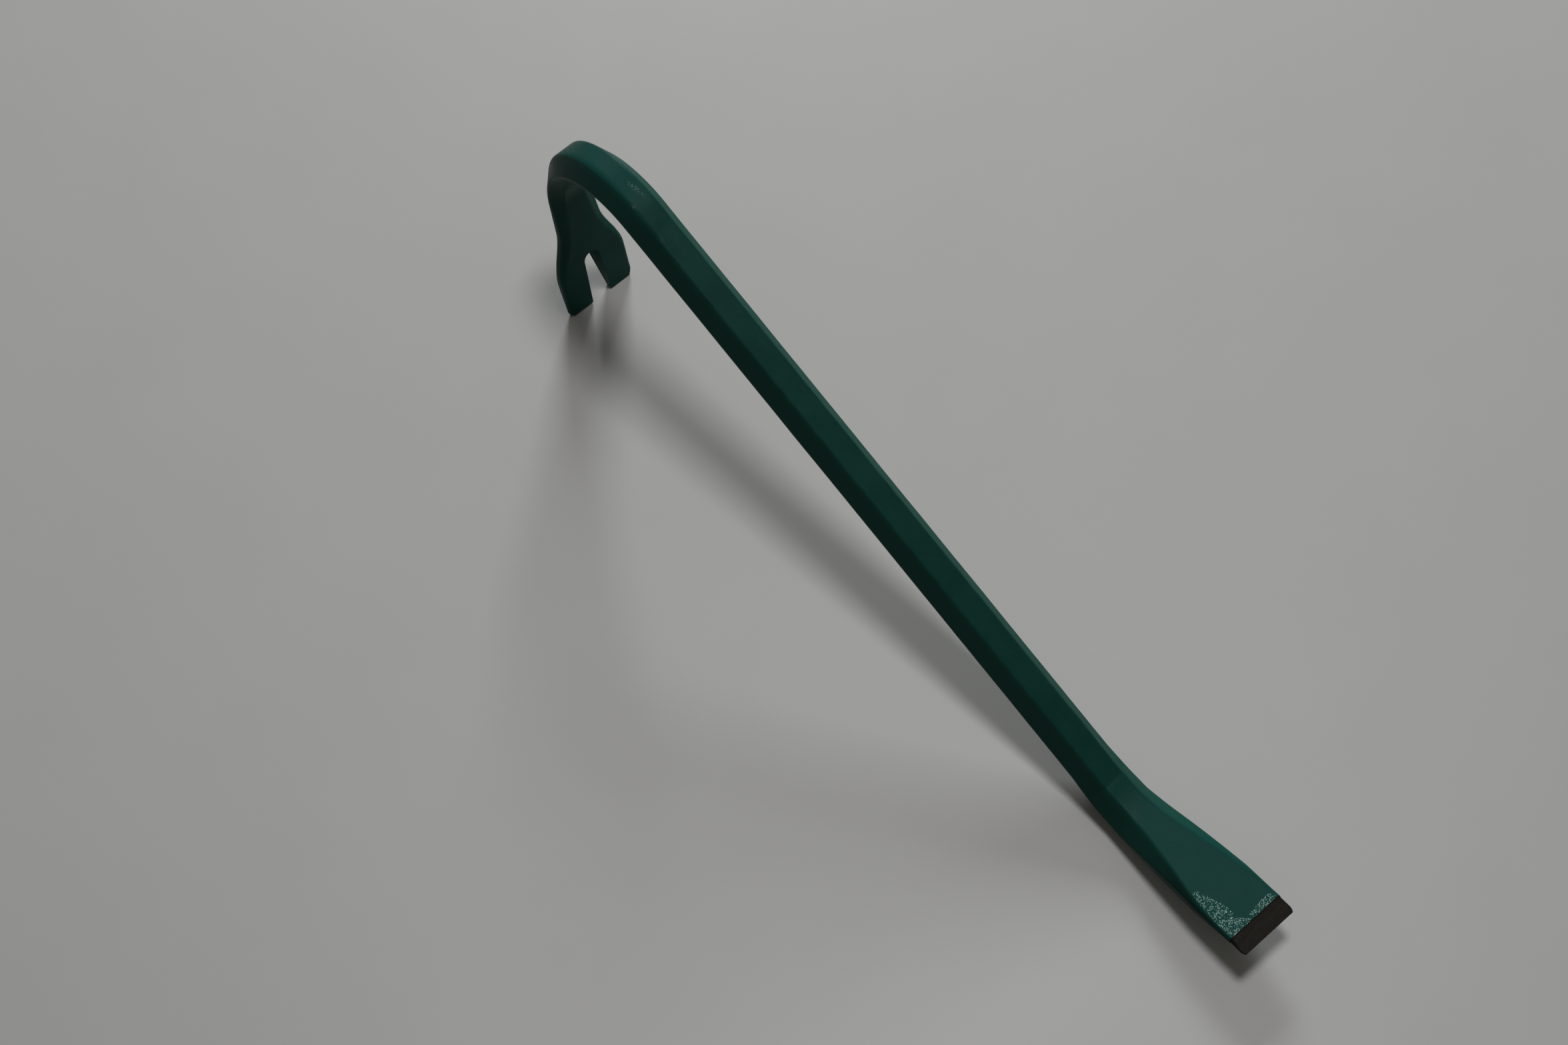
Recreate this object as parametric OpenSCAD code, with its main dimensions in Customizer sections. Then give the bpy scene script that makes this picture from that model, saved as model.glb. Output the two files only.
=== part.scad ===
// Gooseneck wrecking bar: one steel forging and its dipped enamel coat.
// Millimetres, +Z up. The bar stands as it rests by itself, on its two claw tips and on its heel.
// +X runs from the claw to the chisel, and Y = 0 is the plane of symmetry.
// The origin is on the ground, under the middle of the whole length.
// Both nodes are swept through one chain of stations, so the coat always fits the steel.

/* [Stock] */
// hexagonal stock, across its flats
across_flats = 16; // [13:0.5:20]
// how far each long corner is rounded off
corner_round = 0.8; // [0.5:0.1:1.4]
// straight shank between the hook bend and the heel bend
shank_length = 271.9; // [190:0.1:420]

/* [Hook] */
// radius of the hook bend on the centre line
hook_radius = 37; // [33:0.2:55]
// angle that the hook turns through
hook_turn = 122; // [110:0.5:130]
// claw, from the end of the bend to the tips
claw_length = 61; // [54:0.5:72]
// width of the claw before it spreads
claw_neck = 21.8; // [19:0.2:25]
// width over both tines
claw_width = 32.6; // [28:0.2:40]
// distance from the tips at which the claw starts to spread
flare_start = 45; // [38:0.5:50]
// length over which it spreads
flare_length = 26; // [15:0.5:36]
// thickness of the claw where the bend ends
claw_root = 8; // [7:0.1:13]
// thickness of the tines at their tips
claw_tip = 2.7; // [2:0.1:4]
// how far the outer corners of the tines are rounded in
tip_round = 0.8; // [0.2:0.1:2]

/* [Nail slot] */
// length of the slot, from the tips to its round end
slot_length = 28.4; // [22:0.2:34]
// width of the slot at the tips
slot_mouth = 10; // [8:0.2:13]
// width of the slot at its round end, on the outer face of the claw
slot_neck = 2.4; // [1.6:0.2:5]
// the same on the inner face, where the slot opens out for the head of a nail
slot_throat = 7.9; // [5.2:0.1:9.4]

/* [Chisel] */
// radius of the heel bend on the centre line
heel_radius = 46; // [24:1:60]
// angle that the blade is set up from the shank
heel_turn = 29; // [20:0.5:35]
// blade, from the end of the heel bend to the edge
blade_length = 62.6; // [56:0.1:90]
// width of the blade at its edge
blade_width = 26; // [20:0.2:32]
// thickness of the blade where the ground bevel starts
blade_tip = 2.5; // [2:0.1:4]
// length of the ground bevel, which is left bare
bevel_length = 7.1; // [5:0.1:10]
// thickness that is left at the edge
edge_thickness = 0.5; // [0.4:0.1:1]
// how far the two corners of the edge are rounded in
edge_round = 0.8; // [0.2:0.1:2]

/* [Enamel] */
// thickness of the enamel coat
coat_thickness = 0.2; // [0.15:0.05:0.4]

/* [Hidden] */

steel_grey = [0.30, 0.27, 0.25];
enamel_green = [0.05, 0.30, 0.25];

half_flats = across_flats / 2;
half_facet = half_flats * tan(30);
half_corners = half_flats / cos(30);
// half of the narrow land that stands in for a sharp side corner
side_land = 0.45;
// chamfers along the edges of the claw and of the blade: across each of them, and down both
claw_edge_break = 1;
blade_edge_break = 1.15;
edge_break_height = 1;
// least half height of the land between two chamfers
least_land = 0.1;
// The forged tapers. Each starts at a distance from the heel, the end of the bend or the tips.
blade_flatten_start = 9.9;
blade_flatten_length = 60.5;
blade_spread_start = 31.6;
blade_spread_length = 69.9;
blade_thin_start = 9.9;
claw_flatten_start = 14.8;
claw_flatten_length = 61.8;
claw_thin_start = 52.8;
claw_thin_length = 57.6;
tip_round_length = 3;
edge_round_length = 2.4;

// Lengths along the centre line, counted from the chisel edge to the claw tips.
s_heel = blade_length;
s_shank = s_heel + heel_radius * heel_turn * PI / 180;
s_hook = s_shank + shank_length;
s_claw = s_hook + hook_radius * hook_turn * PI / 180;
s_tips = s_claw + claw_length;
s_slot = s_tips - slot_length;
s_spread = max(s_heel + blade_spread_start, s_shank + 1);

function mix(a, b, t) = a + (b - a) * t;
function unit(t) = max(0, min(1, t));
function ease(t) = unit(t) ^ 2 * (3 - 2 * unit(t));
function along(angle) = [cos(angle), sin(angle)];
function across(angle) = [-sin(angle), cos(angle)];

// Centre line in the shank's own frame: the shank on the X axis, the heel bend starting at X = 0.
hook_centre = [-shank_length, -hook_radius];
claw_start = hook_centre + hook_radius * across(hook_turn);
heel_centre = [0, heel_radius];
blade_start = heel_centre - heel_radius * across(heel_turn);

function angle_at(s) =
    s < s_shank ? heel_turn * unit((s_shank - s) / (s_shank - s_heel))
    : hook_turn * unit((s - s_hook) / (s_claw - s_hook));
function centre_at(s) =
    s < s_heel ? blade_start + (s_heel - s) * along(heel_turn)
    : s < s_shank ? heel_centre - heel_radius * across(angle_at(s))
    : s < s_hook ? [s_shank - s, 0]
    : s < s_claw ? hook_centre + hook_radius * across(angle_at(s))
    : claw_start - (s - s_claw) * along(hook_turn);

// The rest pose: the coat touches the ground under the heel bend and at the outer corners of the tips.
tip_corner = centre_at(s_tips) - coat_thickness * along(hook_turn)
    + (claw_tip / 2 + coat_thickness) * across(hook_turn);
heel_reach = heel_radius + half_flats + coat_thickness;
tip_to_heel = heel_centre - tip_corner;
rest_tilt = atan2(tip_to_heel.y, tip_to_heel.x) - asin(heel_reach / norm(tip_to_heel));
function tilted(p) =
    [p.x * cos(rest_tilt) + p.y * sin(rest_tilt), p.y * cos(rest_tilt) - p.x * sin(rest_tilt)];
ground = tilted(tip_corner).y;
back_end = min([
    for (i = [0:40]) let (s = mix(s_hook, s_claw, i / 40))
    tilted(centre_at(s) + (over(s) + coat_thickness) * across(angle_at(s))).x
]);
front_end = tilted(centre_at(0) - blade_tip / 2 * across(heel_turn)).x;
middle = (back_end + front_end) / 2;
function placed(p, y) = let (q = tilted(p)) [q.x - middle, y, q.y - ground];

// Cross-section along the bar. The drawn() share is 0 on the hexagon and 1 where an end is fully flat.
function drawn(s) =
    s < s_hook ? ease((s_heel + blade_flatten_start - s) / blade_flatten_length)
    : ease((s - s_claw + claw_flatten_start) / claw_flatten_length);
function edge_break(s) =
    s < s_hook ? blade_edge_break * min(1, 2 * half_depth(s) / blade_tip) : claw_edge_break;
function tip_cut(s) = tip_round * unit(1 - (s_tips - s) / tip_round_length) ^ 2;
function edge_cut(s) = edge_round * unit(1 - s / edge_round_length) ^ 2;
function blade_half_width(s) =
    mix(half_corners, blade_width / 2, unit((s_spread - s) / blade_spread_length)) - edge_cut(s);
function claw_half_width(s) =
    let (
        neck = mix(half_corners, claw_neck / 2, drawn(s)),
        flare = ease((s - s_tips + flare_start) / flare_length)
    ) mix(neck, claw_width / 2, flare) - tip_cut(s);
function half_width(s) = s < s_hook ? blade_half_width(s) : claw_half_width(s);
function half_flat(s) = mix(half_facet, half_width(s) - edge_break(s), drawn(s));
function claw_thinned(s) = ease((s - s_claw + claw_thin_start) / claw_thin_length);
function claw_half(s) =
    s < s_claw ? mix(half_flats, claw_root / 2, claw_thinned(s) / claw_thinned(s_claw))
    : mix(claw_root, claw_tip, (s - s_claw) / claw_length) / 2;
function blade_half(s) =
    mix(blade_tip / 2, half_flats, unit((s - bevel_length) / (s_heel + blade_thin_start - bevel_length)));
function under(s) = s < s_hook ? blade_half(s) : claw_half(s);
function over(s) =
    s < bevel_length ? mix(edge_thickness - blade_tip / 2, blade_tip / 2, s / bevel_length) : under(s);
function half_depth(s) = (over(s) + under(s)) / 2;
function middle_height(s) = (over(s) - under(s)) / 2;
function side_half(s) = mix(side_land, max(least_land, half_depth(s) - edge_break_height), drawn(s));

// Half of the slot's width on one face, from 0 at its round end, which is 2 r wide.
function slot_half(s, r) =
    let (d = s - s_slot)
    d < r ? sqrt(max(0, r ^ 2 - (r - d) ^ 2)) : mix(r, slot_mouth / 2, (d - r) / (slot_length - r));

// The four corners of half a section as [y, height], grown outwards by g with mitred corners.
function corners(s) = [
    [half_flat(s), over(s)], [half_width(s), middle_height(s) + side_half(s)],
    [half_width(s), middle_height(s) - side_half(s)], [half_flat(s), -under(s)]
];
function mitre(a, b, c, g) =
    let (u = (b - a) / norm(b - a), v = (c - b) / norm(c - b), m = [-u.y - v.y, u.x + v.x])
    b + m * g * 2 / (m * m);
function grown(s, g) =
    let (c = corners(s), r = concat([[0, c[0].y]], c, [[0, c[3].y]]))
    [for (i = [1:4]) mitre(r[i - 1], r[i], r[i + 1], g)];
function rounded(a, b, c) =
    let (
        r = min(corner_round, 0.42 * norm(a - b), 0.42 * norm(c - b)),
        p = b + r * (a - b) / norm(a - b),
        q = b + r * (c - b) / norm(c - b)
    ) [p, (p + 2 * b + q) / 4, q];
function half_section(s, g) =
    let (
        c = grown(s, g),
        outer_gap = max(0, slot_half(s, slot_neck / 2) - g),
        inner_gap = max(0, slot_half(s, slot_throat / 2) - g),
        r = concat([[outer_gap, c[0].y]], c, [[inner_gap, c[3].y]])
    ) concat([r[0]], [for (i = [1:4]) each rounded(r[i - 1], r[i], r[i + 1])], [r[5]]);

// Stations from the chisel edge to the claw tips. The section splits into two tines at the fork.
function steps(a, b, n) = [for (i = [1:n]) mix(a, b, i / n)];
before_fork = concat(
    [0],
    steps(0, edge_round_length, 4),
    [bevel_length],
    steps(bevel_length, s_heel, 14),
    steps(s_heel, s_shank, 8),
    [s_spread, s_hook],
    steps(s_hook, s_claw, 30),
    steps(s_claw, s_slot, 10)
);
fork = len(before_fork) - 1;
stations = concat(
    before_fork,
    [for (a = [15:15:90]) s_slot + slot_throat / 2 * (1 - cos(a))],
    steps(s_slot + slot_throat / 2, s_tips - tip_round_length, 9),
    steps(s_tips - tip_round_length, s_tips, 3)
);
last = len(stations) - 1;
ring = 14;
bevel_station = 5;

function ring_points(i, g) =
    let (
        s = stations[i],
        a = angle_at(s),
        c = centre_at(s) - (i < fork ? 0 : g) * along(a)
    ) [for (side = [1, -1], p = half_section(s, g)) placed(c + p.y * across(a), side * p.x)];
function skin_points(g) = [for (i = [0:last]) each ring_points(i, g)];
skin_size = ring * 2 * (last + 1);

// Before the fork both halves share the points on the plane of symmetry.
function id(i, side, j) =
    let (shared = side == 1 && i <= fork && (j == 0 || j == ring - 1))
    ring * (2 * i + (shared ? 0 : side)) + j;
function quad(a, b, c, d, flip) = flip ? [[a, b, c], [a, c, d]] : [[a, c, b], [a, d, c]];
function skin_faces(first) = [
    for (i = [first:last - 1], side = [0, 1], j = [0:ring - (i < fork ? 2 : 1)])
        let (k = (j + 1) % ring)
        each quad(id(i, side, j), id(i, side, k), id(i + 1, side, k), id(i + 1, side, j), side == 1)
];
function tine_caps() = [
    [for (j = [ring - 1:-1:0]) id(last, 0, j)],
    [for (j = [0:ring - 1]) id(last, 1, j)]
];
function edge_cap() = [concat([for (j = [0:ring - 1]) id(0, 0, j)], [for (j = [ring - 2:-1:1]) id(0, 1, j)])];
function rim_faces(first) = [
    for (side = [0, 1], j = [0:ring - 2])
        each quad(
            id(first, side, j), id(first, side, j + 1),
            id(first, side, j + 1) + skin_size, id(first, side, j) + skin_size, side == 0
        )
];
function turned(faces) = [for (f = faces) [for (k = [len(f):-1:1]) f[k % len(f)] + skin_size]];

module steel_bar() {
    color(steel_grey)
        polyhedron(skin_points(0), concat(skin_faces(0), tine_caps(), edge_cap()));
}

module enamel_coat() {
    outer = concat(skin_faces(bevel_station), tine_caps());
    color(enamel_green)
        polyhedron(
            concat(skin_points(coat_thickness), skin_points(0)),
            concat(outer, turned(outer), rim_faces(bevel_station))
        );
}

steel_bar();
enamel_coat();
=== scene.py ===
"""Looks of the gooseneck wrecking bar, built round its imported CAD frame.

The bar is one sweep of a section along a bent centre line, as in the CAD source, at a finer pitch.
Its measures and its points are in millimetres. s runs along the centre line, from 0 at the chisel
edge to S_TIPS at the claw tips, y across the bar, and height from the centre line towards its top.
"""

import math

import bmesh
import bpy
import numpy as np
from mathutils import Matrix, Vector, noise

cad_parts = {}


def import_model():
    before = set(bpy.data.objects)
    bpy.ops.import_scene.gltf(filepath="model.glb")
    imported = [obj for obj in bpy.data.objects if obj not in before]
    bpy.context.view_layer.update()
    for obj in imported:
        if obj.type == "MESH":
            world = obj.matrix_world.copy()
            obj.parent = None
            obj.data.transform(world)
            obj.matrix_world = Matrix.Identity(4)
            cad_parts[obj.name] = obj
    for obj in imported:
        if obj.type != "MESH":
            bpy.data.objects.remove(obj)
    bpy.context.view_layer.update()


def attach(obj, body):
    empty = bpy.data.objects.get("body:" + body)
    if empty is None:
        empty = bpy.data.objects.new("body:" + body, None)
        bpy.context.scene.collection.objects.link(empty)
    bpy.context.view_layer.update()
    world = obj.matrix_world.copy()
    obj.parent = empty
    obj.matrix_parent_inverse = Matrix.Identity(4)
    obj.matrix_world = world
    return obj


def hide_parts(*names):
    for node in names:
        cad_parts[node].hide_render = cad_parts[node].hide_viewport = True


MM = 0.001

# ---------------------------------------------------------------- the bar's measures, in mm
ACROSS_FLATS = 16.0
CORNER_ROUND = 0.8
COAT = 0.2
SHANK_LENGTH = 271.9
HOOK_RADIUS, HOOK_TURN = 37.0, 122.0
CLAW_LENGTH, CLAW_NECK, CLAW_WIDTH = 61.0, 21.8, 32.6
FLARE_START, FLARE_LENGTH = 45.0, 26.0
CLAW_ROOT, CLAW_TIP, TIP_ROUND = 8.0, 2.7, 0.8
SLOT_LENGTH, SLOT_MOUTH, SLOT_NECK, SLOT_THROAT = 28.4, 10.0, 2.4, 7.9
HEEL_RADIUS, HEEL_TURN = 46.0, 29.0
BLADE_LENGTH, BLADE_WIDTH, BLADE_TIP = 62.6, 26.0, 2.5
BEVEL_LENGTH, EDGE_THICKNESS, EDGE_ROUND = 7.1, 0.5, 0.8
TIP_ROUND_LENGTH, EDGE_ROUND_LENGTH = 3.0, 2.4

# The chamfers of the drawn-out ends, and half of the flat that each side keeps.
CLAW_EDGE_BREAK, BLADE_EDGE_BREAK, EDGE_BREAK_HEIGHT = 1.0, 1.15, 1.0
SIDE_LAND, LEAST_LAND = 0.45, 0.1

# Where the section flattens, spreads and thins, measured from the bend beside it.
BLADE_FLATTEN_START, BLADE_FLATTEN_LENGTH = 9.9, 60.5
BLADE_SPREAD_START, BLADE_SPREAD_LENGTH = 31.6, 69.9
BLADE_THIN_START = 9.9
BLADE_SLOPE = (ACROSS_FLATS - BLADE_TIP) / 2 / (BLADE_LENGTH + BLADE_THIN_START - BEVEL_LENGTH)
CLAW_FLATTEN_START, CLAW_FLATTEN_LENGTH = 14.8, 61.8
CLAW_THIN_START, CLAW_THIN_LENGTH = 52.8, 57.6

HALF_FLATS = ACROSS_FLATS / 2
HALF_FACET = HALF_FLATS * math.tan(math.radians(30))
HALF_CORNERS = HALF_FLATS / math.cos(math.radians(30))

# Places along the bar.
S_HEEL = BLADE_LENGTH
S_SHANK = S_HEEL + HEEL_RADIUS * math.radians(HEEL_TURN)
S_HOOK = S_SHANK + SHANK_LENGTH
S_CLAW = S_HOOK + HOOK_RADIUS * math.radians(HOOK_TURN)
S_TIPS = S_CLAW + CLAW_LENGTH
S_SLOT = S_TIPS - SLOT_LENGTH
S_SPREAD = max(S_HEEL + BLADE_SPREAD_START, S_SHANK + 1)


def unit(t):
    return np.clip(t, 0.0, 1.0)


def ease(t):
    t = unit(t)
    return t * t * (3 - 2 * t)


def mix(a, b, t):
    return a + (b - a) * t


def along(degrees):
    a = np.radians(degrees)
    return np.stack([np.cos(a), np.sin(a)], -1)


def across(degrees):
    a = np.radians(degrees)
    return np.stack([-np.sin(a), np.cos(a)], -1)


# ---------------------------------------------------------------- centre line
HOOK_CENTRE = np.array([-SHANK_LENGTH, -HOOK_RADIUS])
CLAW_START = HOOK_CENTRE + HOOK_RADIUS * across(HOOK_TURN)
HEEL_CENTRE = np.array([0.0, HEEL_RADIUS])
BLADE_START = HEEL_CENTRE - HEEL_RADIUS * across(HEEL_TURN)


def angle_at(s):
    heel = HEEL_TURN * unit((S_SHANK - s) / (S_SHANK - S_HEEL))
    hook = HOOK_TURN * unit((s - S_HOOK) / (S_CLAW - S_HOOK))
    return np.where(s < S_SHANK, heel, hook)


def centre_at(s):
    s = np.asarray(s, float)[..., None]
    angle = angle_at(s)[..., 0]
    blade = BLADE_START + (S_HEEL - s) * along(HEEL_TURN)
    heel = HEEL_CENTRE - HEEL_RADIUS * across(angle)
    shank = np.concatenate([S_SHANK - s, 0 * s], -1)
    hook = HOOK_CENTRE + HOOK_RADIUS * across(angle)
    claw = CLAW_START - (s - S_CLAW) * along(HOOK_TURN)
    return np.where(
        s < S_HEEL, blade,
        np.where(s < S_SHANK, heel, np.where(s < S_HOOK, shank, np.where(s < S_CLAW, hook, claw))),
    )


# ---------------------------------------------------------------- cross-section along the bar
def drawn(s):
    """0 where the bar is a hexagon, 1 where it is drawn out flat."""
    blade = ease((S_HEEL + BLADE_FLATTEN_START - s) / BLADE_FLATTEN_LENGTH)
    claw = ease((s - S_CLAW + CLAW_FLATTEN_START) / CLAW_FLATTEN_LENGTH)
    return np.where(s < S_HOOK, blade, claw)


def half_width(s):
    blade = mix(HALF_CORNERS, BLADE_WIDTH / 2, unit((S_SPREAD - s) / BLADE_SPREAD_LENGTH))
    blade = blade - EDGE_ROUND * unit(1 - s / EDGE_ROUND_LENGTH) ** 2
    neck = mix(HALF_CORNERS, CLAW_NECK / 2, drawn(s))
    claw = mix(neck, CLAW_WIDTH / 2, ease((s - S_TIPS + FLARE_START) / FLARE_LENGTH))
    claw = claw - TIP_ROUND * unit(1 - (S_TIPS - s) / TIP_ROUND_LENGTH) ** 2
    return np.where(s < S_HOOK, blade, claw)


def half_flat(s):
    """Half of the width of the top face."""
    blade_break = BLADE_EDGE_BREAK * np.minimum(1, 2 * half_depth(s) / BLADE_TIP)
    edge_break = np.where(s < S_HOOK, blade_break, CLAW_EDGE_BREAK)
    return mix(HALF_FACET, half_width(s) - edge_break, drawn(s))


def under(s):
    """How far the underside lies below the centre line."""
    blade = mix(
        BLADE_TIP / 2, HALF_FLATS,
        unit((s - BEVEL_LENGTH) / (S_HEEL + BLADE_THIN_START - BEVEL_LENGTH)),
    )
    thinned = ease((s - S_CLAW + CLAW_THIN_START) / CLAW_THIN_LENGTH)
    bend = mix(HALF_FLATS, CLAW_ROOT / 2, thinned / ease(CLAW_THIN_START / CLAW_THIN_LENGTH))
    claw = mix(CLAW_ROOT, CLAW_TIP, (s - S_CLAW) / CLAW_LENGTH) / 2
    return np.where(s < S_HOOK, blade, np.where(s < S_CLAW, bend, claw))


def over(s):
    """How far the top lies above the centre line."""
    bevel = mix(EDGE_THICKNESS - BLADE_TIP / 2, BLADE_TIP / 2, s / BEVEL_LENGTH)
    return np.where(s < BEVEL_LENGTH, bevel, under(s))


def half_depth(s):
    return (over(s) + under(s)) / 2


def side_half(s):
    """Half of the height of the flat on each side."""
    land = np.maximum(LEAST_LAND, half_depth(s) - EDGE_BREAK_HEIGHT)
    return mix(SIDE_LAND, land, drawn(s))


def slot_half(s, r):
    """Half of the slot's width on one face, from 0 at its round end, which is 2 r wide."""
    d = s - S_SLOT
    round_end = np.sqrt(np.maximum(0, r * r - (r - d) ** 2))
    wedge = mix(r, SLOT_MOUTH / 2, (d - r) / (SLOT_LENGTH - r))
    return np.where(d < 0, 0, np.where(d < r, round_end, wedge))


# ---------------------------------------------------------------- how the bar rests
HOOK_STATIONS = 41
TIP_CORNER = centre_at(S_TIPS) - COAT * along(HOOK_TURN) + (CLAW_TIP / 2 + COAT) * across(HOOK_TURN)
TIP_TO_HEEL = HEEL_CENTRE - TIP_CORNER
REST_TILT = math.atan2(TIP_TO_HEEL[1], TIP_TO_HEEL[0]) - math.asin(
    (HEEL_RADIUS + HALF_FLATS + COAT) / np.linalg.norm(TIP_TO_HEEL)
)


def tilted(p):
    """Points of the centre line's plane, turned to where the bar rests on its claw tips and heel."""
    c, n = math.cos(REST_TILT), math.sin(REST_TILT)
    return np.stack([p[..., 0] * c + p[..., 1] * n, p[..., 1] * c - p[..., 0] * n], -1)


def middle_and_ground():
    """The middle of the bar's length, and the level of the ground, after the tilt."""
    s = np.linspace(S_HOOK, S_CLAW, HOOK_STATIONS)
    back = tilted(centre_at(s) + (over(s) + COAT)[:, None] * across(angle_at(s)))[:, 0].min()
    front = tilted(centre_at(0.0) - BLADE_TIP / 2 * across(HEEL_TURN))[0]
    return (back + front) / 2, tilted(TIP_CORNER)[1]


MIDDLE, GROUND = middle_and_ground()

# ---------------------------------------------------------------- sections and stations
TOP_STEPS, ARC_STEPS, FACET_STEPS, SIDE_ARC_STEPS, LAND_STEPS = 6, 5, 4, 3, 2
LONGEST_ARC = 0.42  # of the shorter edge beside it


def grown(s, g):
    """The corners of half a section, top to bottom, pushed out by g, as [station, 6, (y, height)]."""
    top, low, side, flat, wide = over(s), under(s), side_half(s), half_flat(s), half_width(s)
    middle, zero = (top - low) / 2, 0 * s
    ring = np.stack(
        [
            np.stack([zero, top], -1), np.stack([flat, top], -1), np.stack([wide, middle + side], -1),
            np.stack([wide, middle - side], -1), np.stack([flat, -low], -1), np.stack([zero, -low], -1),
        ],
        1,
    )
    edge = ring[:, 1:] - ring[:, :-1]
    edge /= np.linalg.norm(edge, axis=-1, keepdims=True)
    out = np.stack([-edge[..., 1], edge[..., 0]], -1)
    m = out[:, :-1] + out[:, 1:]
    corners = ring[:, 1:-1] + m * g * 2 / (m * m).sum(-1, keepdims=True)
    outer_gap = np.maximum(0, slot_half(s, SLOT_NECK / 2) - g)
    inner_gap = np.maximum(0, slot_half(s, SLOT_THROAT / 2) - g)
    first = np.stack([outer_gap, corners[:, 0, 1]], -1)[:, None]
    final = np.stack([inner_gap, corners[:, -1, 1]], -1)[:, None]
    return np.concatenate([first, corners, final], 1)


def arc(a, b, c, steps):
    """A rounded corner at b between the edges to a and to c."""
    ab, cb = np.linalg.norm(a - b, axis=-1), np.linalg.norm(c - b, axis=-1)
    r = np.minimum(CORNER_ROUND, LONGEST_ARC * np.minimum(ab, cb))[:, None]
    p = b + r * (a - b) / ab[:, None]
    q = b + r * (c - b) / cb[:, None]
    t = np.linspace(0, 1, steps + 1)[:, None, None]
    return (1 - t) ** 2 * p + 2 * t * (1 - t) * b + t * t * q


def line(p, q, steps):
    """The points between p and q, without either end."""
    t = np.arange(1, steps)[:, None, None] / steps
    return mix(p, q, t)


def half_sections(s, g):
    """[station, point, (y, height)] from the top of the slot or centre line round to its bottom."""
    c = grown(s, g).transpose(1, 0, 2)
    arcs = [
        arc(c[i - 1], c[i], c[i + 1], steps)
        for i, steps in zip(range(1, 5), (ARC_STEPS, SIDE_ARC_STEPS, SIDE_ARC_STEPS, ARC_STEPS))
    ]
    parts = [c[:1], line(c[0], arcs[0][0], TOP_STEPS)]
    for i, steps in enumerate((FACET_STEPS, LAND_STEPS, FACET_STEPS)):
        parts += [arcs[i], line(arcs[i][-1], arcs[i + 1][0], steps)]
    parts += [arcs[3], line(arcs[3][-1], c[5], TOP_STEPS), c[5:]]
    return np.concatenate(parts).transpose(1, 0, 2)


def spaced(a, b, step):
    """Even stations from a, which is left out, to b."""
    n = max(2, round((b - a) / step))
    return list(np.linspace(a, b, n + 1)[1:])


def make_stations():
    """All stations, the number of the one at the bevel, and of the one where the claw forks."""
    before = [0.0] + spaced(0, EDGE_ROUND_LENGTH, 0.3) + spaced(EDGE_ROUND_LENGTH, BEVEL_LENGTH, 0.6)
    bevel = len(before) - 1
    before += spaced(BEVEL_LENGTH, 36, 0.7) + spaced(36, S_HEEL, 1.2) + spaced(S_HEEL, S_SHANK, 0.6)
    before += spaced(S_SHANK, S_SPREAD, 0.8) + spaced(S_SPREAD, S_HOOK - 20, 2.5)
    before += spaced(S_HOOK - 20, S_HOOK, 1.0) + spaced(S_HOOK, S_CLAW, 0.9)
    before += spaced(S_CLAW, S_SLOT - 4, 1.2) + spaced(S_SLOT - 4, S_SLOT, 0.8)
    fork = len(before) - 1
    r = SLOT_THROAT / 2
    quarter = range(9, 91, 9)
    after = [S_SLOT + r * (1 - math.cos(math.radians(a))) for a in quarter]
    after += spaced(S_SLOT + r, S_TIPS - TIP_ROUND_LENGTH, 1.0)
    after += spaced(S_TIPS - TIP_ROUND_LENGTH, S_TIPS, 0.4)
    return np.array(before + after), bevel, fork


STATIONS, BEVEL_STATION, FORK = make_stations()
LAST = len(STATIONS) - 1


# ---------------------------------------------------------------- marks left by the forging dies
# Where each crease crosses the top, and how far it leans; where an arris is bruised; the unevenness.
HEEL_CREASE, HEEL_SKEW = S_SHANK - 2.4, 0.13
CROWN_CREASE, CROWN_SKEW = S_HOOK - 9.0, 0.1
BRUISE_START, BRUISE_END, BRUISE_WIDTH, BRUISE_DEPTH = S_HOOK - 13.0, S_CLAW - 30.0, 1.6, 0.3
SLOW_SIZE, SLOW_DEPTH = 17.0, 0.05
QUICK_SIZE, QUICK_DEPTH, QUICK_SEED = 3.4, 0.012, 7.3
CHISEL_WAVES = 0.25  # how much of the unevenness is left at the chisel edge


def fractal(p, scale, octaves, seed=0.0):
    """Smooth noise of about -1 to 1 at each of the points p, in mm."""
    q = p / scale + seed
    return np.array([noise.fractal(Vector(v), 0.9, 2.0, octaves) for v in q])


def crease(d, deep, rise, fall):
    """A crisp line across the bar at d = 0: the surface sinks to it over fall, and comes up over rise."""
    return -deep * np.where(d > 0, 1 - ease(d / fall), unit(1 + d / rise) ** 2)


def eased_corner(s, at, slope, reach):
    """Takes the crispness out of a corner where a face begins to fall away by slope, towards lower s."""
    d = at - s
    return -slope * np.where(np.abs(d) < reach, (d + reach) ** 2 / (4 * reach) - np.maximum(0, d), 0)


def sunk(points, s, y, height):
    """How far each surface point lies inside the ideal shape, as 0 or less, in mm."""
    top = ease((height - 1) / 2)
    heel = crease(s - HEEL_SKEW * y - HEEL_CREASE, deep=0.22, rise=3.6, fall=30.0) * top
    crown = crease(CROWN_CREASE - s + CROWN_SKEW * y, deep=0.10, rise=4.0, fall=9.0) * top
    corner = eased_corner(s, S_HEEL + BLADE_THIN_START, BLADE_SLOPE, reach=9.0)
    struck = ease((s - BRUISE_START) / 2.5) * ease((BRUISE_END - s) / 20) * top
    bruise = -BRUISE_DEPTH * struck * ease(1 - np.abs(y + HALF_FACET) / BRUISE_WIDTH)
    slow = SLOW_DEPTH * (fractal(points, SLOW_SIZE, 2) - 1)
    quick = QUICK_DEPTH * (fractal(points, QUICK_SIZE, 2, QUICK_SEED) - 1)
    waves = (slow + quick) * mix(CHISEL_WAVES, 1, ease((s - 1) / 12))
    return heel + crown + corner + bruise + waves


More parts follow.
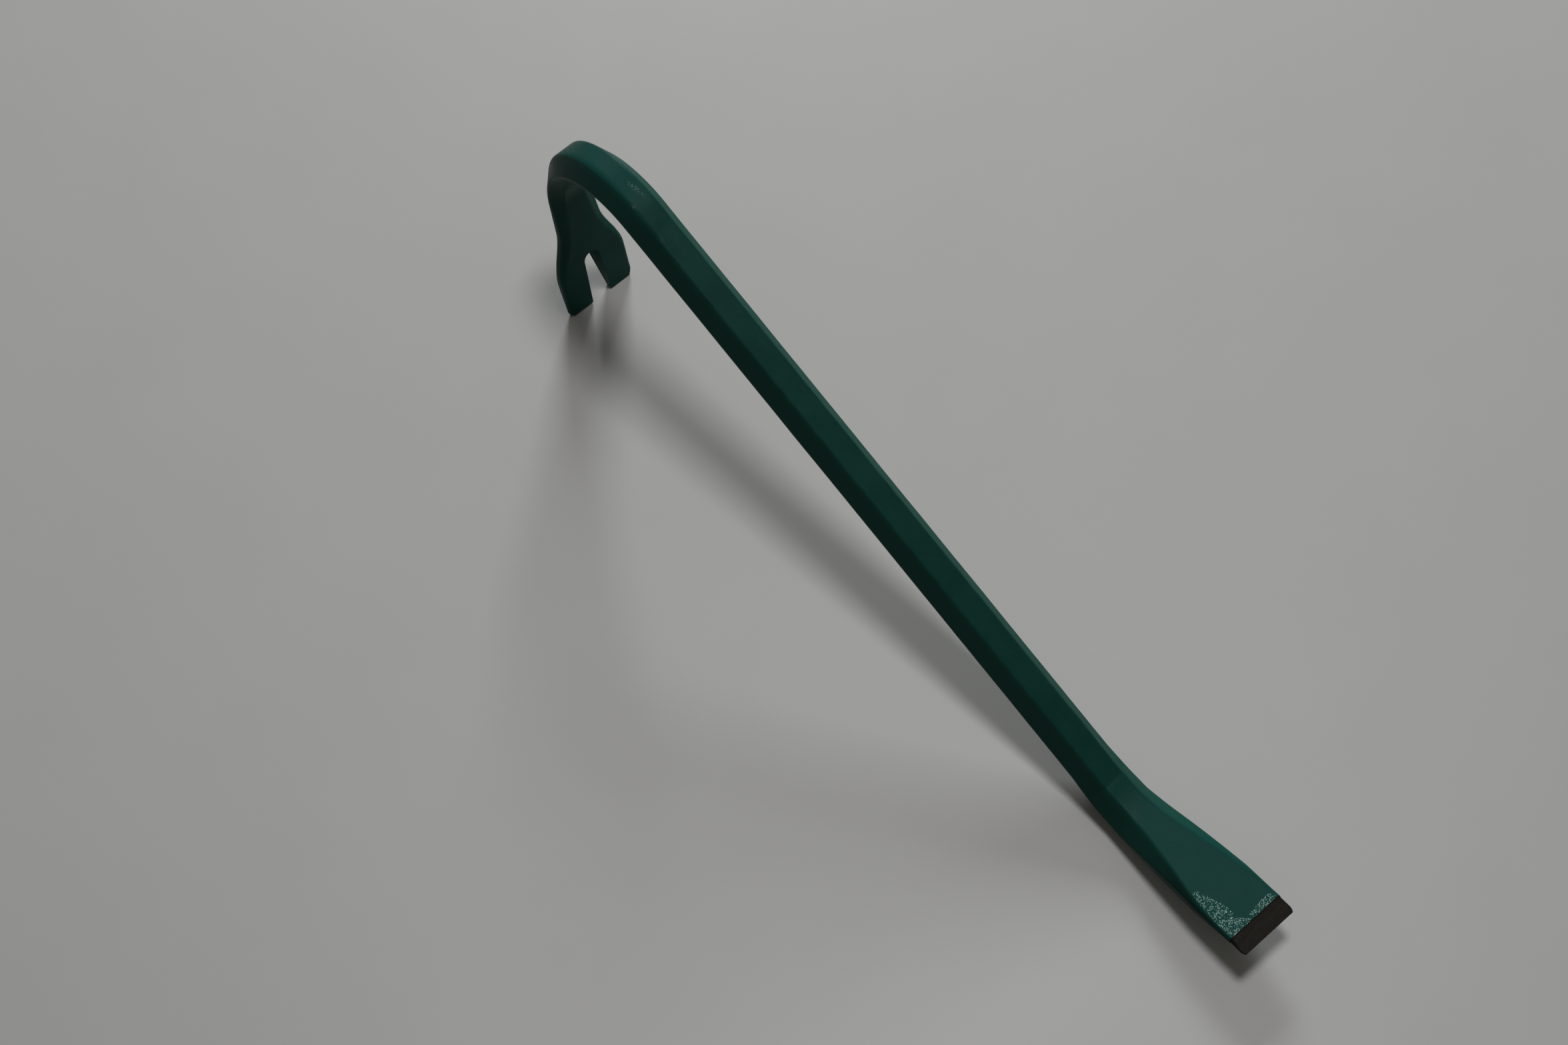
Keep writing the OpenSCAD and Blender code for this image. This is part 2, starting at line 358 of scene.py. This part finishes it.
# ---------------------------------------------------------------- meshes
def skin_points(g):
    """Points [station, side, ring, xyz] in mm, with their s, y and height."""
    section = half_sections(STATIONS, g)
    back = np.where(np.arange(LAST + 1) < FORK, 0, g)[:, None]
    angle = angle_at(STATIONS)
    centre = centre_at(STATIONS) - back * along(angle)
    spot = tilted(centre[:, None] + section[..., 1:] * across(angle)[:, None])
    x, y, z = spot[..., 0] - MIDDLE, section[..., 0], spot[..., 1] - GROUND
    points = np.stack([np.stack([x, side * y, z], -1) for side in (1, -1)], 1)
    s = np.broadcast_to(STATIONS[:, None, None], points.shape[:3])
    height = np.broadcast_to(section[:, None, :, 1], points.shape[:3])
    return points, s, points[..., 1], height


def normals_of(points):
    """Outward directions across each section, from neighbouring ring points and stations."""
    around = np.gradient(points, axis=2)
    lengthwise = np.gradient(points, axis=0)
    n = np.cross(around, lengthwise)
    n[:, 1] *= -1
    n[:, :, 0, 1] = 0
    n[:, :, -1, 1] = 0
    size = np.linalg.norm(n, axis=-1, keepdims=True)
    return n / np.maximum(size, 1e-9)


RING = half_sections(STATIONS[:1], 0.0).shape[1]
SHARP_ANGLE = 48
COAT_RIM, STEEL_RIM = 0.35, 0.15


def point_id(i, side, j):
    """Up to the fork both halves share the points on the plane of symmetry."""
    if side == 1 and i <= FORK and j in (0, RING - 1):
        side = 0
    return (i * 2 + side) * RING + j


def skin_faces(first):
    """The quads of the skin from one station on. Past the fork they close round each tine."""
    faces = []
    for i in range(first, LAST):
        for side in (0, 1):
            for j in range(RING if i >= FORK else RING - 1):
                k = (j + 1) % RING
                face = [point_id(i, side, j), point_id(i, side, k)]
                face += [point_id(i + 1, side, k), point_id(i + 1, side, j)]
                faces.append(face if side == 1 else face[::-1])
    return faces


def caps():
    """The ends of the two tines."""
    tips = [[point_id(LAST, side, j) for j in range(RING)] for side in (0, 1)]
    return [tips[0][::-1], tips[1]]


def edge_face():
    """The flat of the chisel edge."""
    return [point_id(0, 0, j) for j in range(RING)] + [point_id(0, 1, j) for j in range(RING - 2, 0, -1)]


def rim_faces(first, count):
    """The narrow band between the coat's outer skin and its inner one, count points further on."""
    faces = []
    for side in (0, 1):
        for j in range(RING - 1):
            a, b = point_id(first, side, j), point_id(first, side, j + 1)
            face = [a, b, b + count, a + count]
            faces.append(face if side == 0 else face[::-1])
    return faces


def add_piece(name, points, faces, attributes):
    """A mesh object of the points that its faces use, with a value of each attribute at each point."""
    mesh = bpy.data.meshes.new(name)
    used = sorted({i for f in faces for i in f})
    place = {old: new for new, old in enumerate(used)}
    mesh.from_pydata((points[used] * MM).tolist(), [], [[place[i] for i in f] for f in faces])
    for key, values in attributes.items():
        layer = mesh.attributes.new(key, "FLOAT", "POINT")
        layer.data.foreach_set("value", values[used].astype(np.float32))
    obj = bpy.data.objects.new(name, mesh)
    bpy.context.scene.collection.objects.link(obj)
    mesh.validate()
    bm = bmesh.new()
    bm.from_mesh(mesh)
    bmesh.ops.recalc_face_normals(bm, faces=bm.faces)
    bm.to_mesh(mesh)
    bm.free()
    mesh.shade_smooth()
    return obj


def soften_edges(obj, width):
    """Rounds the sharp rims of the slot, the tine ends and the chisel edge."""
    bevel = obj.modifiers.new("rims", "BEVEL")
    bevel.width = width * MM
    bevel.segments = 3
    bevel.limit_method = "ANGLE"
    bevel.angle_limit = math.radians(SHARP_ANGLE)
    weighted = obj.modifiers.new("shading", "WEIGHTED_NORMAL")
    weighted.keep_sharp = True
    weighted.weight = 60


# ---------------------------------------------------------------- where the finish is worn
# The scuffed band's widest place, its inner edge there, and its end up the blade. The patch's end up
# the blade, the y where it reaches furthest, the y where it begins, and its strength.
BAND_WIDEST, BAND_INNER_Y, BAND_END = 13.2, -4.5, 31.4
PATCH_END, PATCH_Y, PATCH_START_Y, PATCH_SHARE = 11.8, 8.0, -4.6, 0.72


def speckle_amount(s, y, top):
    """The scuffed band along the blade's edge at -Y, and the thinner patch by the bevel at +Y."""
    inner = BAND_INNER_Y - np.where(s > BAND_WIDEST, 0.0155, -0.1) * (s - BAND_WIDEST) ** 2
    band = ease((inner + 0.8 - y) / 1.6) * ease((BAND_END - s + 0.25 * (y + 9)) / 3.0)
    patch_end = PATCH_END - 0.12 * np.abs(y - PATCH_Y) - 0.45 * np.maximum(0, -y)
    patch = ease((patch_end - s) / 1.8) * ease((y - PATCH_START_Y) / 2.4)
    flat = ease((half_flat(s) + 0.3 - np.abs(y)) / 0.6)
    return np.maximum(band, PATCH_SHARE * patch) * flat * top * (s >= BEVEL_LENGTH)


def scuff_amount(s, y, top):
    """Two rubbed spots on the outer face where the hook begins."""
    d = s - S_HOOK
    large = np.hypot((d - 7.2) / 2.9, (y - 1.4 + 0.1 * (d - 7.2)) / 0.9)
    small = np.hypot((d - 3.2) / 0.7, (y + 4.2) / 0.7)
    return np.maximum(ease(1.6 - large), ease(1.5 - small)) * top


def flank_amount(s, y):
    """0 on the flats, 1 on the facets beside them on the side of positive y."""
    return ease((y - half_flat(s)) / 1.6)


def edge_amount(j, height):
    """1 on the rounded long corners, 0 on the flats and inside the hook."""
    corner = TOP_STEPS + ARC_STEPS / 2
    side = RING / 2 - 0.5
    near = np.minimum(np.abs(j - corner), np.abs(RING - 1 - j - corner))
    round_edge = np.maximum(unit(1 - near / (ARC_STEPS / 2 + 1)), unit(1 - np.abs(j - side) / 4))
    return round_edge * ease((height + 1.5) / 3)


def build_bar():
    """The coat and the steel under it, both marked by the dies, as two closed meshes."""
    count = (LAST + 1) * 2 * RING
    outer, s, y, height = skin_points(COAT)
    inner = skin_points(0.0)[0]
    depth = sunk(outer.reshape(-1, 3), s.ravel(), y.ravel(), height.ravel()).reshape(outer.shape[:3])
    depth[:, 1, 0], depth[:, 1, -1] = depth[:, 0, 0], depth[:, 0, -1]
    push = normals_of(outer) * depth[..., None]
    outer, inner = outer + push, inner + push
    outer[..., 2] = np.maximum(outer[..., 2], 0)
    j = np.broadcast_to(np.arange(RING), outer.shape[:3])
    top = ease((height - 0.2) / 0.8)
    facts = {
        "along": s.ravel(),
        "speckle": speckle_amount(s, y, top).ravel(),
        "scuff": scuff_amount(s, y, top).ravel(),
        # Where painted shade goes: the facets at -Y.
        "shaded_side": flank_amount(s, -y).ravel(),
        # Where painted light goes: the facets at +Y.
        "lit_side": flank_amount(s, y).ravel(),
        "edge": edge_amount(j, height).ravel(),
    }
    both = {k: np.concatenate([v, v]) for k, v in facts.items()}
    points = np.concatenate([outer.reshape(-1, 3), inner.reshape(-1, 3)])
    shell = skin_faces(BEVEL_STATION) + caps()
    inside = [[i + count for i in f[::-1]] for f in shell]
    coat = add_piece("enamel_skin", points, shell + inside + rim_faces(BEVEL_STATION, count), both)
    bar = skin_faces(0) + caps() + [edge_face()]
    return coat, add_piece("forged_steel", inner.reshape(-1, 3), bar, facts)


# ---------------------------------------------------------------- materials
# Linear colours. The green of the blade, heel crease and crown is painted light, those of the facets at
# -Y painted shade, the one of the facets at +Y painted light, and THIN_GREEN lies under the grit.
DEEP_GREEN = (0.0074, 0.054, 0.0425)
PALE_GREEN = (0.0096, 0.062, 0.0495)
MOTTLED_GREEN = (0.0064, 0.046, 0.0365)
# Painted light: the paler green where the blade, the heel's crease and the crown catch more light.
PAINTED_LIGHT_GREEN = (0.0104, 0.073, 0.0620)
# Painted shade on the facets at -Y, the second darker still towards the blade.
SHADED_FACET_GREEN = (0.0105, 0.040, 0.0310)
DEEPER_SHADE_GREEN = (0.0060, 0.022, 0.0170)
# Painted light on the facets at +Y.
LIT_FACET_GREEN = (0.0090, 0.105, 0.0790)
# Partly rubbed paint, partly a painted highlight on the upper arrises.
RUBBED_AND_HIGHLIT_GREEN = (0.022, 0.095, 0.081)
THIN_GREEN = (0.018, 0.110, 0.092)
DUST = (0.20, 0.22, 0.20)
GRIT = (0.50, 0.74, 0.69)
SCUFFED = (0.20, 0.30, 0.27)
BARE = (0.018, 0.015, 0.012)
DARK_STEEL, BROWN_STEEL = (0.0125, 0.0098, 0.0066), (0.019, 0.0148, 0.0102)
GROUND_STEEL, RUST = (0.030, 0.025, 0.0185), (0.036, 0.020, 0.011)
FLOOR_SHADE, FLOOR_LIGHT = (0.635, 0.62, 0.61), (0.67, 0.655, 0.645)
GRIT_SIZE = 0.47


class Graph:
    """A short way to wire a material's nodes. Sizes and distances are in mm."""

    def __init__(self, name):
        self.material = bpy.data.materials.new(name)
        self.material.use_nodes = True
        self.tree = self.material.node_tree
        self.shader = self.tree.nodes["Principled BSDF"]
        coords = self.tree.nodes.new("ShaderNodeTexCoord")
        to_mm = self.tree.nodes.new("ShaderNodeVectorMath")
        to_mm.operation = "SCALE"
        to_mm.inputs["Scale"].default_value = 1 / MM
        self.tree.links.new(coords.outputs["Object"], to_mm.inputs[0])
        self.mm = to_mm.outputs[0]

    def link(self, value, socket):
        """Feeds a socket with another node's output, a number or a colour."""
        if isinstance(value, bpy.types.NodeSocket):
            self.tree.links.new(value, socket)
        elif isinstance(value, tuple):
            socket.default_value = (*value, 1)
        else:
            socket.default_value = value

    def attribute(self, name):
        node = self.tree.nodes.new("ShaderNodeAttribute")
        node.attribute_name = name
        return node.outputs["Fac"]

    def stretched(self, factors):
        node = self.tree.nodes.new("ShaderNodeVectorMath")
        node.operation = "MULTIPLY"
        self.link(self.mm, node.inputs[0])
        node.inputs[1].default_value = factors
        return node.outputs[0]

    def noise(self, size, detail=3.0, rough=0.55, vector=None):
        node = self.tree.nodes.new("ShaderNodeTexNoise")
        self.link(vector or self.mm, node.inputs["Vector"])
        node.inputs["Scale"].default_value = 1 / size
        node.inputs["Detail"].default_value = detail
        node.inputs["Roughness"].default_value = rough
        return node.outputs["Fac"]

    def cells(self, size, vector=None, output="Distance"):
        """How far a point lies from the middle of its cell or, as Color, a tone for each whole cell."""
        node = self.tree.nodes.new("ShaderNodeTexVoronoi")
        self.link(vector or self.mm, node.inputs["Vector"])
        node.inputs["Scale"].default_value = 1 / size
        return node.outputs[output]

    def shifted(self, reach, size):
        """The position, moved by anything up to reach along each axis."""
        shift = self.tree.nodes.new("ShaderNodeTexNoise")
        self.link(self.mm, shift.inputs["Vector"])
        shift.inputs["Scale"].default_value = 1 / size
        add = self.tree.nodes.new("ShaderNodeVectorMath")
        add.operation = "MULTIPLY_ADD"
        self.link(shift.outputs["Color"], add.inputs[0])
        add.inputs[1].default_value = (reach,) * 3
        self.link(self.mm, add.inputs[2])
        return add.outputs[0]

    def calculate(self, operation, a, b):
        node = self.tree.nodes.new("ShaderNodeMath")
        node.operation = operation
        self.link(a, node.inputs[0])
        self.link(b, node.inputs[1])
        return node.outputs[0]

    def times(self, a, b):
        return self.calculate("MULTIPLY", a, b)

    def plus(self, a, b):
        return self.calculate("ADD", a, b)

    def minus(self, a, b):
        return self.calculate("SUBTRACT", a, b)

    def band(self, value, low, high, to_low=0.0, to_high=1.0):
        """Eases from to_low to to_high while the value goes from low to high."""
        node = self.tree.nodes.new("ShaderNodeMapRange")
        node.interpolation_type = "SMOOTHSTEP"
        self.link(value, node.inputs["Value"])
        for key, number in (("From Min", low), ("From Max", high), ("To Min", to_low), ("To Max", to_high)):
            node.inputs[key].default_value = number
        return node.outputs["Result"]

    def blend(self, share, a, b):
        node = self.tree.nodes.new("ShaderNodeMix")
        node.data_type = "RGBA"
        self.link(share, node.inputs["Factor"])
        self.link(a, node.inputs["A"])
        self.link(b, node.inputs["B"])
        return node.outputs["Result"]

    def bump(self, height, distance, normal=None):
        node = self.tree.nodes.new("ShaderNodeBump")
        self.link(height, node.inputs["Height"])
        node.inputs["Strength"].default_value = 1.0
        node.inputs["Distance"].default_value = distance * MM
        if normal is not None:
            self.link(normal, node.inputs["Normal"])
        return node.outputs["Normal"]


def along_band(g, start, end, share=1.0):
    """A share that comes in between two places along the bar."""
    return g.band(g.attribute("along"), start, end, 0.0, share)


def green_tones(g):
    """The paint's green, with painted light on the blade, the heel's crease and the crown, painted shade on
    the facets at -Y and painted light on those at +Y.
    """
    colour = g.blend(g.band(g.noise(16.0, 2.0), 0.35, 0.65), DEEP_GREEN, PALE_GREEN)
    colour = g.blend(g.band(g.noise(2.6, 4.0), 0.52, 0.78, 0.0, 0.3), colour, MOTTLED_GREEN)
    # Painted light: the heel's crease, the blade and the crown are made paler where they face the light.
    heel = along_band(g, S_SHANK - 2.0, S_SHANK - 3.6, 0.45)
    blade = along_band(g, S_SHANK - 5.0, S_HEEL - 6.0, 0.55)
    crown_start = along_band(g, S_HOOK - 4.0, S_HOOK + 8.0, 0.95)
    crown_end = along_band(g, S_HOOK + 44.0, S_HOOK + 26.0)
    crown = g.times(crown_start, crown_end)
    colour = g.blend(g.plus(g.plus(heel, blade), crown), colour, PAINTED_LIGHT_GREEN)
    shaded_side, lit_side = g.attribute("shaded_side"), g.attribute("lit_side")
    # Painted shade on the facets at -Y, deeper towards the blade.
    colour = g.blend(g.times(shaded_side, 0.6), colour, SHADED_FACET_GREEN)
    colour = g.blend(g.times(shaded_side, along_band(g, 60.0, 30.0, 0.75)), colour, DEEPER_SHADE_GREEN)
    # Painted light: the facets at +Y are brighter.
    return g.blend(g.times(lit_side, 0.75), colour, LIT_FACET_GREEN)


def rubbed_highlit_and_dusty(g, colour):
    """Lighter arrises, partly rubbed paint and partly a painted highlight, left off the lower arrises and
    the inside of the hook; and dust in patches.
    """
    # Rubbed paint and painted highlight on the upper arrises.
    rubbed = g.times(g.band(g.attribute("edge"), 0.45, 1.0), g.band(g.noise(5.0, 4.0), 0.40, 0.62))
    colour = g.blend(g.times(rubbed, 0.45), colour, RUBBED_AND_HIGHLIT_GREEN)
    dust = g.band(g.cells(1.9), 0.06, 0.02, 0.0, 0.5)
    return g.blend(g.times(dust, g.band(g.noise(9.0), 0.50, 0.70)), colour, DUST)


def speckled(g, colour):
    """The blade's scraped paint. Gives the colour, the ragged zone and the grain in it."""
    ragged = g.plus(g.attribute("speckle"), g.times(g.minus(g.noise(1.6, 3.0), 0.5), 0.9))
    zone = g.band(ragged, 0.42, 0.62)
    jitter = g.shifted(0.24, 0.6)
    grain = g.band(g.cells(GRIT_SIZE, jitter), 0.54, 0.35)
    picked = g.band(g.cells(GRIT_SIZE, jitter, "Color"), 0.28, 0.52)
    bright = g.times(g.times(grain, picked), g.band(g.noise(3.0), 0.30, 0.55, 0.55, 1.0))
    colour = g.blend(g.times(zone, 0.40), colour, THIN_GREEN)
    return g.blend(g.times(g.times(zone, bright), 0.95), colour, GRIT), zone, grain


def enamel_material():
    g = Graph("green_enamel")
    colour, zone, grain = speckled(g, rubbed_highlit_and_dusty(g, green_tones(g)))

    scratched = g.noise(0.8, 4.0, 0.7)
    scuffed = g.times(g.attribute("scuff"), g.band(scratched, 0.47, 0.62))
    colour = g.blend(g.times(scuffed, 0.7), colour, SCUFFED)

    torn = g.minus(g.minus(g.attribute("along"), BEVEL_LENGTH), g.times(g.noise(0.9, 3.0), 0.9))
    colour = g.blend(g.band(torn, 0.10, -0.10), colour, BARE)
    g.link(colour, g.shader.inputs["Base Color"])

    rough = g.plus(g.band(g.noise(7.0, 4.0), 0.3, 0.7, 0.36, 0.44), g.times(g.plus(zone, scuffed), 0.22))
    g.link(g.plus(rough, g.times(g.attribute("lit_side"), 0.10)), g.shader.inputs["Roughness"])
    g.shader.inputs["Specular IOR Level"].default_value = 0.06

    peel = g.bump(g.noise(1.5, 2.0), 0.025)
    hammered = g.bump(g.noise(6.0, 3.0), 0.06, peel)
    pitted = g.bump(g.times(zone, grain), 0.10, hammered)
    g.link(g.bump(g.times(scuffed, scratched), 0.06, pitted), g.shader.inputs["Normal"])
    return g.material


def steel_material():
    """The bare bevel: browned, with grinding lines along the bar and spots of rust."""
    g = Graph("browned_steel")
    colour = g.blend(g.band(g.noise(3.0, 4.0), 0.35, 0.65), DARK_STEEL, BROWN_STEEL)
    lines = g.noise(1.0, 2.0, 0.6, g.stretched((4.5, 0.16, 4.5)))
    colour = g.blend(g.band(lines, 0.45, 0.75, 0.0, 0.4), colour, GROUND_STEEL)
    colour = g.blend(g.band(g.noise(1.3, 5.0, 0.7), 0.60, 0.74, 0.0, 0.6), colour, RUST)
    g.link(colour, g.shader.inputs["Base Color"])
    g.shader.inputs["Metallic"].default_value = 0.35
    g.shader.inputs["Specular IOR Level"].default_value = 0.25
    g.link(g.band(lines, 0.3, 0.7, 0.52, 0.68), g.shader.inputs["Roughness"])
    g.link(g.bump(g.noise(0.5, 3.0), 0.02, g.bump(lines, 0.04)), g.shader.inputs["Normal"])
    return g.material


def floor_material():
    g = Graph("pale_floor")
    g.link(g.blend(g.noise(60.0, 3.0), FLOOR_SHADE, FLOOR_LIGHT), g.shader.inputs["Base Color"])
    g.shader.inputs["Roughness"].default_value = 0.42
    g.shader.inputs["Specular IOR Level"].default_value = 0.5
    return g.material


# ---------------------------------------------------------------- floor, lights, camera
FLOOR_HALF = 3.0
LAMPS = (  # name, azimuth, elevation, distance, width and height, power, colour
    ("overhead_lamp", 112, 81.3, 1.7, (0.34, 0.34), 6.9, (0.985, 0.995, 1.0)),
    ("window", 140.5, 26.5, 2.4, (0.62, 0.6), 22.5, (0.93, 0.985, 1.0)),
)
WORLD_COLOUR, WORLD_STRENGTH = (1.0, 0.975, 0.89), 0.09
CAMERA_TARGET = (-0.04028, -0.02324, 0.0288)
CAMERA_AZIMUTH, CAMERA_ELEVATION, CAMERA_ROLL, CAMERA_DISTANCE = -40.85, 63.87, -1.16, 1.1796
SENSOR_WIDTH, FOCAL_LENGTH = 36.0, 70.7


def toward(azimuth, elevation):
    """The direction from the object to something that stands at these angles, in degrees."""
    a, e = math.radians(azimuth), math.radians(elevation)
    return Vector((math.cos(a) * math.cos(e), math.sin(a) * math.cos(e), math.sin(e)))


def facing(back, roll=0.0):
    """A rotation whose local +Z points along back, with world +Z up in the picture."""
    right = Vector((0, 0, 1)).cross(back).normalized()
    up = back.cross(right)
    c, n = math.cos(math.radians(roll)), math.sin(math.radians(roll))
    r, u = right * c + up * n, up * c - right * n
    return Matrix((r, u, back)).transposed().to_4x4()


def add_floor():
    mesh = bpy.data.meshes.new("floor")
    bm = bmesh.new()
    bmesh.ops.create_grid(bm, x_segments=24, y_segments=24, size=FLOOR_HALF)
    bm.to_mesh(mesh)
    bm.free()
    floor = bpy.data.objects.new("floor", mesh)
    bpy.context.scene.collection.objects.link(floor)
    mesh.materials.append(floor_material())


def add_light(name, azimuth, elevation, distance, size, power, colour):
    """A rectangular lamp that faces the origin, in metres and watts."""
    light = bpy.data.lights.new(name, "AREA")
    light.shape = "RECTANGLE"
    light.size, light.size_y = size
    light.energy = power
    light.color = colour
    lamp = bpy.data.objects.new(name, light)
    bpy.context.scene.collection.objects.link(lamp)
    back = toward(azimuth, elevation)
    lamp.matrix_world = Matrix.Translation(back * distance) @ facing(back)


def add_world():
    world = bpy.data.worlds.new("studio")
    bpy.context.scene.world = world
    world.use_nodes = True
    background = world.node_tree.nodes["Background"]
    background.inputs["Color"].default_value = (*WORLD_COLOUR, 1)
    background.inputs["Strength"].default_value = WORLD_STRENGTH


def add_camera():
    data = bpy.data.cameras.new("camera")
    data.sensor_width = SENSOR_WIDTH
    data.lens = FOCAL_LENGTH
    data.dof.use_dof = False
    camera = bpy.data.objects.new("camera", data)
    bpy.context.scene.collection.objects.link(camera)
    back = toward(CAMERA_AZIMUTH, CAMERA_ELEVATION)
    place = Vector(CAMERA_TARGET) + back * CAMERA_DISTANCE
    camera.matrix_world = Matrix.Translation(place) @ facing(back, CAMERA_ROLL)
    bpy.context.scene.camera = camera


def main():
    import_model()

    coat, steel = build_bar()
    coat.data.materials.append(enamel_material())
    steel.data.materials.append(steel_material())
    soften_edges(coat, COAT_RIM)
    soften_edges(steel, STEEL_RIM)
    for piece, node, slot in ((coat, "enamel_coat", "enamel"), (steel, "steel_bar", "steel")):
        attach(piece, "root")
        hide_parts(node)

    add_floor()
    for lamp in LAMPS:
        add_light(*lamp)
    add_world()
    add_camera()
    bpy.context.scene.view_settings.view_transform = "Standard"


main()
